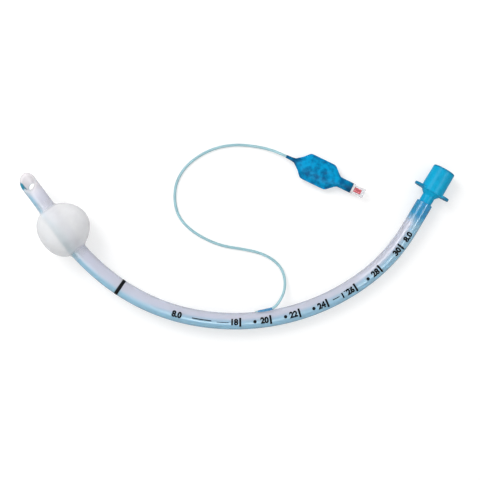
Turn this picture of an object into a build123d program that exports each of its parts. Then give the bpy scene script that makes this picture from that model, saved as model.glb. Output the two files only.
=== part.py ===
from build123d import *
import math
import os

# A cuffed endotracheal tube of nominal size 8.0 with its 15 mm connector, inflation line,
# pilot balloon and inflation valve, lying at rest on a flat surface.
# Units are millimetres, +Z is up, and z = 0 is the surface that it lies on.

# Airway tube: its section, then its curve from the machine end to the tip
TUBE_OD = 11.0
TUBE_ID = 8.0
CHANNEL_D = 0.8
MACHINE_END = (123.65, 29.32)
MACHINE_HEADING = -120.2
MACHINE_RUN = 20.0
BENDS = [(44.0, 22.7), (60.0, 24.3), (60.0, 23.5), (60.0, 26.5), (52.0, 20.2), (16.0, -3.3)]
TIP_RUN = 24.0

# Tip: bevel, side eye, and the sealed stretch of the inflation channel
BEVEL_ANGLE = 38.0
TIP_ROUND = 0.45
EYE_LENGTH = 8.5
EYE_WIDTH = 5.5
EYE_FROM_TIP = 13.0
CHANNEL_SEAL = 16.0

# Cuff: a ball with a short straight middle, set off from the tube towards the inner bend
CUFF_D = 34.0
CUFF_STRAIGHT = 1.0
CUFF_OFFSET = 1.9
CUFF_FILM = 0.25
CUFF_FROM_TIP = 45.0
COLLAR_LENGTH = 5.0
PORT_D = 1.6

# Connector: insert, neck, ears and the 15 mm cone of 1 in 40 on its diameter
INSERT_LENGTH = 10.5
INSERT_LEAD = 1.2
INSERT_LEAD_STEP = 0.35
INSERT_CLEARANCE = 0.02
INSERT_WALL = 0.9
NECK_STEP = 0.3
NECK_LENGTH = 8.2
NECK_STRAIGHT = 5.2
SHOULDER_STEP = 0.8
EAR_SPAN = 25.4
EAR_HEIGHT = 10.0
EAR_THICKNESS = 1.6
CONE_MOUTH_D = 15.22
CONE_TAPER = 1 / 40
CONE_LENGTH = 15.6
CONE_EDGE = 0.4
CONE_WALL = 1.15
CONE_BORE_LENGTH = 14.5

# Inflation line: its route in the surface's frame, from the notch to the balloon's tail
LINE_D = 1.8
LINE_BEND_SHARE = 0.45
LINE_MIN_BEND = 5.0
NOTCH_CLEARANCE = 0.05
NOTCH_POINTS = 4
LINE_ROUTE = [
    (11.22, -43.41, 7.33),
    (16.07, -42.8, 7.2),
    (20.87, -41.65, 7.05),
    (24.67, -39.45, 6.75),
    (27.57, -35.75, 6.1),
    (30.27, -30.35, 5.0),
    (31.27, -22.85, 3.4),
    (29.07, -14.55, 1.9),
    (23.07, -8.25, 0.95),
    (13.37, -3.55, 0.95),
    (1.37, -1.25, 0.95),
    (-10.63, 0.55, 0.95),
    (-22.63, 5.25, 0.95),
    (-32.63, 11.55, 0.95),
    (-40.33, 19.85, 0.95),
    (-43.43, 31.15, 0.95),
    (-42.13, 43.45, 0.95),
    (-36.13, 53.65, 0.95),
    (-26.33, 61.65, 0.95),
    (-14.53, 66.95, 0.95),
    (-1.53, 68.85, 0.95),
    (11.87, 67.55, 0.95),
    (21.87, 65.05, 2.4),
    (28.62, 62.12, 4.2),
    (34.92, 59.06, 4.2),
]

# Pilot balloon: stations are (distance along it, width, thickness), from the root of its tail
BALLOON_AT = (37.62, 57.75)
BALLOON_HEADING = -25.9
BALLOON_THICKNESS = 8.4
BALLOON_WALL = 0.4
BALLOON_STATIONS = [
    (4.5, 9.2, 5.2),
    (8.3, 17.2, 7.4),
    (17.0, 17.6, BALLOON_THICKNESS),
    (25.8, 17.2, 7.4),
    (29.6, 11.6, 7.1),
]
BALLOON_LENGTH = 32.5
TAIL_WALL = 0.35
TAIL_LENGTH = 6.5
TAIL_CLEARANCE = 0.05
SLEEVE_LENGTH = 9.5
SLEEVE_WALL = 0.5
SLEEVE_CLEARANCE = 0.02

# Inflation valve, measured along its axis from the balloon's sleeve outwards
CHAMBER_D = 4.8
HOUSING_WALL = 0.55
HOUSING_EDGE = 0.25
BAND_LENGTH = 1.6
EXPOSED_LENGTH = 9.0
BARREL_WALL = 0.7
MOUTH_RIM_STEP = 0.3
MOUTH_RIM_LENGTH = 1.7
SOCKET_MOUTH_D = 4.27
SOCKET_TAPER = 0.06
SOCKET_DEPTH = 7.0
PLUNGER_D = 3.3
PLUNGER_CLEARANCE = 0.06
PLUNGER_RECESS = 2.2
PLUNGER_TRAVEL = 3.0
GUIDE_GRIP = 3.4
FLUTE_WIDTH = 0.8
FLUTE_DEPTH = 0.75
FLUTE_COUNT = 4
WAIST_STEP = 0.45
SEAT_GAP = 0.03
SEAL_MARGIN = 0.25
SEAL_LENGTH = 1.2
SEAL_PLAY = 0.01
FLANGE_MARGIN = 0.4
FLANGE_LENGTH = 0.8
SPRING_WIRE = 0.35
SPRING_CLEARANCE = 0.6
SPRING_TURNS = 6.0
SPRING_LENGTH = 8.5
SPRING_END_GAP = 0.04
PIN_CLEARANCE = 0.4
PIN_LENGTH = 3.0
RETAINER_LENGTH = 1.5
RETAINER_HOLE_D = 1.6
RETAINER_CLEARANCE = 0.02

TUBE_R = TUBE_OD / 2
WALL = (TUBE_OD - TUBE_ID) / 2
CHANNEL_AT = (TUBE_OD + TUBE_ID) / 4

CONE_START = NECK_LENGTH + EAR_THICKNESS
CONE_END = CONE_START + CONE_LENGTH
CONE_BASE_D = CONE_MOUTH_D + CONE_TAPER * CONE_LENGTH
CONE_BORE_D = CONE_MOUTH_D - 2 * CONE_WALL
INSERT_D = TUBE_ID - 2 * INSERT_CLEARANCE
INSERT_BORE_D = INSERT_D - 2 * INSERT_WALL

LINE_BORE_D = LINE_D + 2 * TAIL_CLEARANCE
TAIL_D = LINE_BORE_D + 2 * TAIL_WALL
HOUSING_D = CHAMBER_D + 2 * HOUSING_WALL
SLEEVE_BORE_D = HOUSING_D + 2 * SLEEVE_CLEARANCE
SLEEVE_D = SLEEVE_BORE_D + 2 * SLEEVE_WALL
BARREL_D = SOCKET_MOUTH_D + 2 * BARREL_WALL
MOUTH_RIM_D = BARREL_D + 2 * MOUTH_RIM_STEP
GUIDE_D = PLUNGER_D + 2 * PLUNGER_CLEARANCE
WAIST_D = PLUNGER_D - 2 * WAIST_STEP
SEAL_D = CHAMBER_D - 2 * SEAL_MARGIN
FLANGE_D = CHAMBER_D - 2 * FLANGE_MARGIN
COIL_D = CHAMBER_D - 2 * SPRING_CLEARANCE - SPRING_WIRE
PIN_D = COIL_D - SPRING_WIRE - 2 * PIN_CLEARANCE

SLEEVE_END = BALLOON_LENGTH + SLEEVE_LENGTH
VALVE_MOUTH = SLEEVE_END + EXPOSED_LENGTH
SOCKET_END = VALVE_MOUTH - SOCKET_DEPTH
SEAT = SOCKET_END - GUIDE_GRIP - PLUNGER_TRAVEL
SEAL_TOP = SEAT - SEAT_GAP
FLANGE_TOP = SEAL_TOP - SEAL_LENGTH
FLANGE_BOTTOM = FLANGE_TOP - FLANGE_LENGTH
RETAINER_TOP = FLANGE_BOTTOM - SPRING_LENGTH
HOUSING_START = RETAINER_TOP - RETAINER_LENGTH


def turned(points):
    """A solid turned about +Z from (radius, height) corners."""
    outline = Polyline(*[(radius, height) for radius, height in points], close=True)
    return revolve(Plane.XZ * make_face(outline), axis=Axis.Z)


def tube_path():
    """The tube's middle line, in the plane of its curve, from the machine end to the tip."""
    heading = Vector(1, 0).rotate(Axis.Z, MACHINE_HEADING)
    start = Vector(*MACHINE_END)
    edges = [Line(start, start + heading * MACHINE_RUN)]
    for length, turn in BENDS:
        bend = JernArc(edges[-1] @ 1, edges[-1] % 1, length / math.radians(turn), -turn)
        edges.append(bend)
    tip_start = edges[-1] @ 1
    edges.append(Line(tip_start, tip_start + (edges[-1] % 1) * TIP_RUN))
    return Wire(edges)


def section_plane(path, distance):
    """The cross-section at a distance along the tube: x to the inner bend, y down, z to the tip."""
    along = path.tangent_at(distance, position_mode=PositionMode.LENGTH)
    inner = along.rotate(Axis.Z, -90)
    return Plane(path.position_at(distance, position_mode=PositionMode.LENGTH), x_dir=inner, z_dir=along)


def rest_plane(path):
    """The curve's plane when the tube lies on its bow, its cuff and the root of its cone."""
    outward = path.tangent_at(0) * -1
    cone_root = path.position_at(0) + outward * NECK_LENGTH
    cuff_plane = section_plane(path, path.length - CUFF_FROM_TIP)
    cuff_middle = cuff_plane.origin + cuff_plane.x_dir * CUFF_OFFSET
    samples = [path.position_at(step / 400) for step in range(401)]
    bow = min(samples, key=lambda point: point.Y)
    for _ in range(6):
        high = Vector(cone_root.X, cone_root.Y, CONE_BASE_D / 2)
        low = Vector(bow.X, bow.Y, TUBE_R)
        tall = Vector(cuff_middle.X, cuff_middle.Y, CUFF_D / 2)
        normal = (low - high).cross(tall - high)
        slope_x = -normal.X / normal.Z
        slope_y = -normal.Y / normal.Z
        bow = min(samples, key=lambda point: slope_x * point.X + slope_y * point.Y)
    height = low.Z - slope_x * low.X - slope_y * low.Y
    x_run = math.sqrt(1 - slope_x**2)
    y_lean = -slope_x * slope_y / x_run
    x_dir = Vector(x_run, 0, slope_x)
    y_dir = Vector(y_lean, math.sqrt(1 - y_lean**2 - slope_y**2), slope_y)
    return Plane((0, 0, height), x_dir=x_dir, z_dir=x_dir.cross(y_dir))


def swept_round(path, diameter, offset=0.0):
    """A round bar along the tube's curve, with its middle set towards the inner bend by offset."""
    start = section_plane(path, 0)
    return sweep(start * Pos(offset, 0) * Circle(diameter / 2), path=path)


def airway_tube(path, notch):
    """The extrusion with its bore and channel, bevelled and rounded at the tip."""
    length = path.length
    tip = section_plane(path, length)
    lean = math.radians(BEVEL_ANGLE)
    bevel_normal = tip.y_dir * -math.cos(lean) + tip.z_dir * math.sin(lean)
    bevel = Plane(tip.origin + tip.y_dir * TUBE_R, z_dir=bevel_normal)
    body = swept_round(path, TUBE_OD) - swept_round(path, TUBE_ID)
    body = split(body, bisect_by=bevel, keep=Keep.BOTTOM)
    rim = [edge for edge in body.edges() if abs((edge @ 0.1 - bevel.origin).dot(bevel_normal)) < 0.001
           and abs((edge @ 0.6 - bevel.origin).dot(bevel_normal)) < 0.001]
    body = fillet(rim, min(TIP_ROUND, WALL * 0.4))
    seal = section_plane(path, length - CHANNEL_SEAL)
    channel = split(swept_round(path, CHANNEL_D, CHANNEL_AT), bisect_by=seal, keep=Keep.BOTTOM)
    eye_at = section_plane(path, length - EYE_FROM_TIP)
    eye_plane = Plane(eye_at.origin, x_dir=eye_at.z_dir, z_dir=eye_at.y_dir)
    eye = extrude(eye_plane * SlotOverall(EYE_LENGTH, EYE_WIDTH), TUBE_OD)
    port_at = section_plane(path, length - CUFF_FROM_TIP)
    port_plane = Plane(port_at.origin + port_at.x_dir * CHANNEL_AT, z_dir=port_at.x_dir)
    port = extrude(port_plane * Circle(PORT_D / 2), TUBE_OD)
    return body - channel - eye - port - notch


def cuff(path, tube_outside):
    """The film balloon and its two collars, closed onto the outside of the tube."""
    middle = section_plane(path, path.length - CUFF_FROM_TIP)
    film = CUFF_FILM
    half_straight = CUFF_STRAIGHT / 2

    def ball(shrink):
        radius = CUFF_D / 2 - shrink
        barrel = Cylinder(radius, CUFF_STRAIGHT)
        ends = [Pos(0, 0, side * half_straight) * Sphere(radius) for side in (-1, 1)]
        return Pos(CUFF_OFFSET, 0) * (barrel + ends)

    balloon = middle * (ball(0) - ball(film))
    reach = half_straight + math.sqrt((CUFF_D / 2) ** 2 - TUBE_R**2)
    centre = path.length - CUFF_FROM_TIP
    collars = [
        section_plane(path, centre + side * (reach + COLLAR_LENGTH / 2 - film))
        * Cylinder(TUBE_R + film, COLLAR_LENGTH)
        for side in (-1, 1)
    ]
    return balloon + collars - tube_outside


def connector(path):
    """The moulded connector, bored right through, with its insert inside the tube."""
    mouth_r = CONE_MOUTH_D / 2
    insert_r = INSERT_D / 2
    neck_r = insert_r + NECK_STEP
    base_r = CONE_BASE_D / 2
    outside = turned([
        (0, -INSERT_LENGTH),
        (insert_r - INSERT_LEAD_STEP, -INSERT_LENGTH),
        (insert_r, INSERT_LEAD - INSERT_LENGTH),
        (insert_r, 0),
        (neck_r, 0),
        (neck_r, NECK_STRAIGHT),
        (base_r - SHOULDER_STEP, NECK_LENGTH),
        (base_r, NECK_LENGTH),
        (base_r, CONE_START),
        (mouth_r, CONE_END - CONE_EDGE),
        (mouth_r - CONE_EDGE, CONE_END),
        (0, CONE_END),
    ])
    ears = extrude(Plane((0, 0, NECK_LENGTH)) * SlotOverall(EAR_SPAN, EAR_HEIGHT), EAR_THICKNESS)
    funnel_top = CONE_END - CONE_BORE_LENGTH
    bore = turned([
        (0, -INSERT_LENGTH),
        (INSERT_BORE_D / 2, -INSERT_LENGTH),
        (INSERT_BORE_D / 2, NECK_STRAIGHT),
        (CONE_BORE_D / 2, funnel_top),
        (CONE_BORE_D / 2, CONE_END - CONE_EDGE),
        (CONE_BORE_D / 2 + CONE_EDGE, CONE_END),
        (0, CONE_END),
    ])
    end = section_plane(path, 0)
    outward = Plane(end.origin, x_dir=end.x_dir, z_dir=end.z_dir * -1)
    return outward * (outside + ears - bore)


def line_sweep(points, diameter):
    """A round bar along straight runs that are joined by tangent arcs."""
    corners = [Vector(*point) for point in points]
    radii = []
    for before, corner, after in zip(corners, corners[1:], corners[2:]):
        run = min((corner - before).length, (after - corner).length)
        turn = (corner - before).get_angle(after - corner)
        radii.append(LINE_BEND_SHARE * run / math.tan(math.radians(turn / 2)))
    route = FilletPolyline(*corners, radius=radii)
    start = Plane(corners[0], z_dir=corners[1] - corners[0])
    return sweep(start * Circle(diameter / 2), path=route), route, radii


def ellipse_at(distance, width, thickness):
    return Plane((0, 0, distance)) * Ellipse(width / 2, thickness / 2)


def pillow(shrink):
    """The balloon's body through its stations, smaller all round by shrink."""
    stations = [(0, TAIL_D, TAIL_D), *BALLOON_STATIONS, (BALLOON_LENGTH, SLEEVE_D, SLEEVE_D)]
    sections = [
        ellipse_at(distance, width - 2 * shrink, thickness - 2 * shrink)
        for distance, width, thickness in stations
    ]
    return loft(sections, ruled=True)


def pilot_balloon():
    """The hollow pillow with a tail for the line and a sleeve for the valve."""
    body = pillow(0) - pillow(BALLOON_WALL)
    tail = Pos(0, 0, -TAIL_LENGTH) * extrude(Circle(TAIL_D / 2), TAIL_LENGTH)
    sleeve = Pos(0, 0, BALLOON_LENGTH) * extrude(Circle(SLEEVE_D / 2), SLEEVE_LENGTH)
    reach_in = 3 * BALLOON_WALL
    tail_bore = Pos(0, 0, -TAIL_LENGTH) * extrude(Circle(LINE_BORE_D / 2), TAIL_LENGTH + reach_in)
    sleeve_bore = Pos(0, 0, BALLOON_LENGTH - reach_in) * extrude(
        Circle(SLEEVE_BORE_D / 2), SLEEVE_LENGTH + reach_in)
    return body + tail + sleeve - tail_bore - sleeve_bore


def valve_housing():
    """The clear body: chamber, seat and guide inside, syringe socket at the mouth."""
    rim_start = VALVE_MOUTH - MOUTH_RIM_LENGTH
    outside = turned([
        (0, HOUSING_START),
        (HOUSING_D / 2 - HOUSING_EDGE, HOUSING_START),
        (HOUSING_D / 2, HOUSING_START + HOUSING_EDGE),
        (HOUSING_D / 2, SLEEVE_END),
        (SLEEVE_D / 2, SLEEVE_END),
        (SLEEVE_D / 2, SLEEVE_END + BAND_LENGTH),
        (BARREL_D / 2, SLEEVE_END + BAND_LENGTH),
        (BARREL_D / 2, rim_start),
        (MOUTH_RIM_D / 2, rim_start),
        (MOUTH_RIM_D / 2, VALVE_MOUTH - HOUSING_EDGE),
        (MOUTH_RIM_D / 2 - HOUSING_EDGE, VALVE_MOUTH),
        (0, VALVE_MOUTH),
    ])
    socket_root_d = SOCKET_MOUTH_D - SOCKET_TAPER * SOCKET_DEPTH
    inside = turned([
        (0, HOUSING_START),
        (CHAMBER_D / 2, HOUSING_START),
        (CHAMBER_D / 2, SEAT),
        (GUIDE_D / 2, SEAT),
        (GUIDE_D / 2, SOCKET_END),
        (socket_root_d / 2, SOCKET_END),
        (SOCKET_MOUTH_D / 2, VALVE_MOUTH),
        (0, VALVE_MOUTH),
    ])
    return outside - inside


def valve_plunger():
    """The fluted plunger with the waist that holds the seal, its flange and the spring's pin."""
    top = VALVE_MOUTH - PLUNGER_RECESS
    body = turned([
        (0, FLANGE_BOTTOM - PIN_LENGTH),
        (PIN_D / 2, FLANGE_BOTTOM - PIN_LENGTH),
        (PIN_D / 2, FLANGE_BOTTOM),
        (FLANGE_D / 2, FLANGE_BOTTOM),
        (FLANGE_D / 2, FLANGE_TOP),
        (WAIST_D / 2, FLANGE_TOP),
        (WAIST_D / 2, SEAL_TOP),
        (PLUNGER_D / 2, SEAL_TOP),
        (PLUNGER_D / 2, top),
        (0, top),
    ])
    flute_length = top - SEAL_TOP
    flute = extrude(Rectangle(2 * FLUTE_DEPTH, FLUTE_WIDTH), flute_length)
    flutes = PolarLocations(PLUNGER_D / 2, FLUTE_COUNT) * flute
    return body - [Pos(0, 0, SEAL_TOP) * one for one in flutes]


def valve_seal():
    """The flat ring round the plunger's waist."""
    bore = WAIST_D / 2 + SEAL_PLAY
    ring = Circle(SEAL_D / 2) - Circle(bore)
    return Pos(0, 0, FLANGE_TOP + SEAL_PLAY) * extrude(ring, SEAL_LENGTH - 2 * SEAL_PLAY)


def valve_spring():
    """The coil between the plunger's flange and the retainer."""
    low = RETAINER_TOP + SPRING_END_GAP + SPRING_WIRE / 2
    height = FLANGE_BOTTOM - SPRING_END_GAP - SPRING_WIRE / 2 - low
    coil = Helix(pitch=height / SPRING_TURNS, height=height, radius=COIL_D / 2)
    section = Plane(coil @ 0, z_dir=coil % 0) * Circle(SPRING_WIRE / 2)
    return Pos(0, 0, low) * sweep(section, path=coil, is_frenet=True)


def valve_retainer():
    """The ring pressed into the chamber's open end."""
    ring = Circle(CHAMBER_D / 2 - RETAINER_CLEARANCE) - Circle(RETAINER_HOLE_D / 2)
    return Pos(0, 0, HOUSING_START) * extrude(ring, RETAINER_LENGTH)


path = tube_path()
lie = rest_plane(path)
line, route, bend_radii = line_sweep(LINE_ROUTE, LINE_D)
notch = line_sweep(LINE_ROUTE[:NOTCH_POINTS], LINE_D + 2 * NOTCH_CLEARANCE)[0]
notch_in_curve = lie.location.inverse() * notch
balloon_dir = Vector(1, 0).rotate(Axis.Z, BALLOON_HEADING)
balloon_plane = Plane(
    (*BALLOON_AT, BALLOON_THICKNESS / 2), x_dir=balloon_dir.rotate(Axis.Z, 90), z_dir=balloon_dir)

parts = {
    "airway_tube": lie * airway_tube(path, notch_in_curve),
    "cuff": lie * cuff(path, swept_round(path, TUBE_OD)),
    "connector": lie * connector(path),
    "inflation_line": line,
    "pilot_balloon": balloon_plane * pilot_balloon(),
    "valve_housing": balloon_plane * valve_housing(),
    "valve_plunger": balloon_plane * valve_plunger(),
    "valve_seal": balloon_plane * valve_seal(),
    "valve_spring": balloon_plane * valve_spring(),
    "valve_retainer": balloon_plane * valve_retainer(),
}

os.makedirs("parts", exist_ok=True)
for name, shape in parts.items():
    export_step(shape, f"parts/{name}.step")

print("line bend radii", [round(radius, 1) for radius in bend_radii])
print("line radii under", LINE_MIN_BEND, "diameters:", sum(r < LINE_MIN_BEND * LINE_D for r in bend_radii))
print("line volume over section times length",
      round(line.volume / (math.pi * LINE_D**2 / 4 * route.length), 4), "length", round(route.length, 1))
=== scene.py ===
import math

import bmesh
import bpy
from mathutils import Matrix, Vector, noise


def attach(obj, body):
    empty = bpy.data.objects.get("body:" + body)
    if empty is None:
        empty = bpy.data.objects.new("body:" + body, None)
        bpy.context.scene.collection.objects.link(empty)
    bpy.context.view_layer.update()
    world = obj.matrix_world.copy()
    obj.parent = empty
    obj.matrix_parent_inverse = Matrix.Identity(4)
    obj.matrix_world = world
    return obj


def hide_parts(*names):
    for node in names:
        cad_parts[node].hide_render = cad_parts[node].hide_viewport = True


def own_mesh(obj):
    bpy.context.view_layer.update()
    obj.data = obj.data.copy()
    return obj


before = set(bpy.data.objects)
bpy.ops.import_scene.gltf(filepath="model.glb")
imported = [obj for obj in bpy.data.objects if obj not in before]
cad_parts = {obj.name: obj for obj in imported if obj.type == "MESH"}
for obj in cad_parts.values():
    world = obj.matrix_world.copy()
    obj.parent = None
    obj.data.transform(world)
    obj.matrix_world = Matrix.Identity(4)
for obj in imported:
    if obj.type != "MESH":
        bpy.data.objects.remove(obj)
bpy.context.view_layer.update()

# Camera: it hangs straight over the middle of the object and looks down, with +Y up in the picture
CAMERA_HEIGHT = 0.600
CAMERA_OVER = (0.00087, 0.00465)
LENS_MM = 66.88
SENSOR_MM = 36.0
NEAREST_SEEN = 0.01

lens = bpy.data.cameras.new("camera")
lens.lens = LENS_MM
lens.sensor_width = SENSOR_MM
lens.clip_start = NEAREST_SEEN
camera = bpy.data.objects.new("camera", lens)
camera.location = (*CAMERA_OVER, CAMERA_HEIGHT)
bpy.context.scene.collection.objects.link(camera)
bpy.context.scene.camera = camera
bpy.context.scene.view_settings.view_transform = "Standard"

# Inflation line: one thin extruded tube of soft pale blue vinyl. It leaves a notch in the inner bend
# of the airway tube, runs down onto the table, and loops round to the tail of the pilot balloon.
MM = 0.001
LINE_D = 0.0018
LINE_ROUTE = [
    (0.01122, -0.04341, 0.00733),
    (0.01607, -0.04280, 0.00720),
    (0.02087, -0.04165, 0.00705),
    (0.02467, -0.03945, 0.00675),
    (0.02757, -0.03575, 0.00610),
    (0.03027, -0.03035, 0.00500),
    (0.03127, -0.02285, 0.00340),
    (0.02907, -0.01455, 0.00190),
    (0.02307, -0.00825, 0.00095),
    (0.01337, -0.00355, 0.00095),
    (0.00137, -0.00125, 0.00095),
    (-0.01063, 0.00055, 0.00095),
    (-0.02263, 0.00525, 0.00095),
    (-0.03263, 0.01155, 0.00095),
    (-0.04033, 0.01985, 0.00095),
    (-0.04343, 0.03115, 0.00095),
    (-0.04213, 0.04345, 0.00095),
    (-0.03613, 0.05365, 0.00095),
    (-0.02633, 0.06165, 0.00095),
    (-0.01453, 0.06695, 0.00095),
    (-0.00153, 0.06885, 0.00095),
    (0.01187, 0.06755, 0.00095),
    (0.02187, 0.06505, 0.00240),
    (0.02862, 0.06212, 0.00420),
    (0.03492, 0.05906, 0.00420),
]


def route_curve(name, points, radius):
    """A round bar along one smooth NURBS spline."""
    curve = bpy.data.curves.new(name, "CURVE")
    curve.dimensions = "3D"
    curve.bevel_depth = radius
    curve.bevel_resolution = 6
    curve.resolution_u = 16
    curve.use_fill_caps = True
    spline = curve.splines.new("NURBS")
    spline.points.add(len(points) - 1)
    for point, place in zip(spline.points, points):
        point.co = (*place, 1.0)
    spline.order_u = 3
    spline.use_endpoint_u = True
    piece = bpy.data.objects.new(name, curve)
    bpy.context.scene.collection.objects.link(piece)
    return piece


def linear(colour):
    """An sRGB hex value as the linear colour that a shader takes."""
    channels = [int(colour[i:i + 2], 16) / 255 for i in (1, 3, 5)]
    return (*[c / 12.92 if c <= 0.04045 else ((c + 0.055) / 1.055) ** 2.4 for c in channels], 1.0)


def add(tree, kind, settings={}, values={}, links={}, stops=()):
    """Adds a node with its settings, its sockets' values, its links and a ramp's places and colours."""
    node = tree.nodes.new(kind)
    for name, value in settings.items():
        setattr(node, name, value)
    for name, value in values.items():
        node.inputs[name].default_value = value
    for name, socket in links.items():
        tree.links.new(socket, node.inputs[name])
    for position, colour in stops[1:-1]:
        node.color_ramp.elements.new(position)
    for index, (position, colour) in enumerate(stops):
        node.color_ramp.elements[index].position = position
        node.color_ramp.elements[index].color = linear(colour)
    return node


def material(name, **values):
    """A new material whose one shader has these constant values, with its tree and that shader."""
    made = bpy.data.materials.new(name)
    made.use_nodes = True
    tree = made.node_tree
    tree.nodes.clear()
    shader = add(tree, "ShaderNodeBsdfPrincipled")
    for socket, value in values.items():
        shader.inputs[socket.replace("_", " ")].default_value = value
    add(tree, "ShaderNodeOutputMaterial", links={"Surface": shader.outputs["BSDF"]})
    return made, tree, shader


# Plasticised PVC, extruded and left as it cools: a soft gloss, with light passing into the wall, and
# a tint that clouds a little along its length.
LINE_CLOUDS = 12 * MM
line_vinyl, tree, shader = material(
    "pale_blue_vinyl", Roughness=0.28, IOR=1.53, Transmission_Weight=0.35)
place = add(tree, "ShaderNodeTexCoord")
cloud = add(tree, "ShaderNodeTexNoise", values={"Scale": 1 / LINE_CLOUDS, "Detail": 2.0},
            links={"Vector": place.outputs["Object"]})
tint = add(tree, "ShaderNodeValToRGB", links={"Fac": cloud.outputs["Fac"]}, stops=(
    (0.35, "#9CCCD6"), (0.65, "#AAD6DE")))
tree.links.new(tint.outputs["Color"], shader.inputs["Base Color"])

inflation_line = route_curve("inflation_tubing", LINE_ROUTE, LINE_D / 2)
inflation_line.data.materials.append(line_vinyl)
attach(inflation_line, "tube_set")
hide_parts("inflation_line")

# Table and light: a white sheet in a bright room, with the soft light of a window from the upper left
# for the faint shadow. The three strips light nothing: they only draw the streaks of gloss.
TABLE_SIZE = 3.0
TABLE_OWN_GLOW = 0.49
TABLE_REFLECTANCE = 0.57
ROOM_LIGHT = 0.74
WHITE = (1.0, 1.0, 1.0, 1.0)
WINDOW_AT = (-0.55, 0.60, 0.85)
WINDOW_SIDE = 0.55
WINDOW_WATTS = 6.5
STRIP_ANGLES = (-150, -90, -30)
STRIP_REACH = 0.65
STRIPS_FORWARD = 0.08
STRIP_HEIGHT = 0.80
STRIP_LENGTH = 0.62
STRIP_WIDTH = 0.30
STRIP_WATTS = 5.0


def in_sight(tree):
    """1 for what the camera sees, straight or through a clear piece, and 0 for rays that only light."""
    ray = add(tree, "ShaderNodeLightPath")
    sight = add(tree, "ShaderNodeMath", {"operation": "MAXIMUM"}, links={
        0: ray.outputs["Is Camera Ray"], 1: ray.outputs["Is Transmission Ray"]})
    return sight.outputs[0]


table_mesh = bpy.data.meshes.new("table")
half = TABLE_SIZE / 2
corners = [(-half, -half, 0), (half, -half, 0), (half, half, 0), (-half, half, 0)]
table_mesh.from_pydata(corners, [], [(0, 1, 2, 3)])
table = bpy.data.objects.new("table", table_mesh)
bpy.context.scene.collection.objects.link(table)

# White paper, matt: in sight it glows just enough to come out as the photograph's clean white.
paper, tree, shader = material(
    "white_paper", Base_Color=(*[TABLE_REFLECTANCE] * 3, 1.0), Roughness=0.9, Specular_IOR_Level=0.0,
    Emission_Color=WHITE)
glow = add(tree, "ShaderNodeMath", {"operation": "MULTIPLY"}, {1: TABLE_OWN_GLOW}, {0: in_sight(tree)})
tree.links.new(glow.outputs[0], shader.inputs["Emission Strength"])
table_mesh.materials.append(paper)

room = bpy.data.worlds.new("room")
bpy.context.scene.world = room
room.use_nodes = True
room.node_tree.nodes.clear()
level = add(room.node_tree, "ShaderNodeMapRange", {}, {"To Min": ROOM_LIGHT, "To Max": 1.0},
            {"Value": in_sight(room.node_tree)})
air = add(room.node_tree, "ShaderNodeBackground", {}, {"Color": WHITE},
          {"Strength": level.outputs["Result"]})
add(room.node_tree, "ShaderNodeOutputWorld", links={"Surface": air.outputs["Background"]})


def softbox(name, place, width, height, watts):
    """An area lamp that hangs at place and points at the middle of the table."""
    lamp = bpy.data.lights.new(name, "AREA")
    lamp.shape = "RECTANGLE"
    lamp.size = width
    lamp.size_y = height
    lamp.energy = watts
    box = bpy.data.objects.new(name, lamp)
    box.location = place
    box.rotation_euler = (-Vector(place)).to_track_quat("-Z", "Y").to_euler()
    bpy.context.scene.collection.objects.link(box)
    return box


softbox("window", WINDOW_AT, WINDOW_SIDE, WINDOW_SIDE, WINDOW_WATTS)
for number, angle in enumerate(STRIP_ANGLES):
    across = STRIP_REACH * math.cos(math.radians(angle))
    forward = STRIPS_FORWARD + STRIP_REACH * math.sin(math.radians(angle))
    strip = softbox(f"strip_{number}", (across, forward, STRIP_HEIGHT), STRIP_LENGTH, STRIP_WIDTH,
                    STRIP_WATTS)
    strip.visible_diffuse = False
    strip.visible_transmission = False

# Airway tube: one clear soft vinyl extrusion of 8 mm bore, curved, with a blue radiopaque stripe in
# the wall of its outer bend and a thin inflation channel in the wall of its inner bend. The tip is cut
# to a bevel and flame-rounded, and an eye is punched through the side that the bevel faces away from.
TUBE_R = 5.5 * MM
BORE_R = 3.90 * MM
CHANNEL_R = 0.4 * MM
CHANNEL_AT = 4.75 * MM
CHANNEL_STARTS = 4.0 * MM
CHANNEL_SEALED = 16.0 * MM
CHANNEL_STATION = 3.0 * MM
CHANNEL_STEPS = 10
# The plane that the tube's middle line bends in, tilted because the tube rests on its cuff and ears.
PLANE_HEIGHT = 10.9223 * MM
PLANE_X = Vector((0.998968, 0.0, -0.045409))
PLANE_Y = Vector((0.003352, 0.997272, 0.073744))
UP = PLANE_X.cross(PLANE_Y)
# Where the middle line starts, and the length in mm and the turn in degrees of each stretch of it.
MACHINE_END = (123.65 * MM, 29.32 * MM)
MACHINE_HEADING = -120.2
SPANS = [(20.0, 0.0), (44.0, 22.7), (60.0, 24.3), (60.0, 23.5), (60.0, 26.5), (52.0, 20.2), (16.0, -3.3),
         (24.0, 0.0)]
TUBE_LENGTH = sum(length for length, turn in SPANS) * MM
BEVEL_SLOPE = math.tan(math.radians(38.0))
BEVEL_ROWS = 12
BEVEL_MARGIN = 2.0 * MM
# The rounded edge from the outer wall to the bore: each point's radius and setback in mm.
RIM = [(5.50, 0.50), (5.46, 0.26), (5.36, 0.10), (5.18, 0.0), (4.74, 0.0), (4.29, 0.0), (4.11, 0.10),
       (4.01, 0.26), (3.95, 0.50)]
RIM_DEPTH = 0.5 * MM
STATION = 1.6 * MM
ROUND_STEPS = 64
TAU = 2 * math.pi


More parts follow.
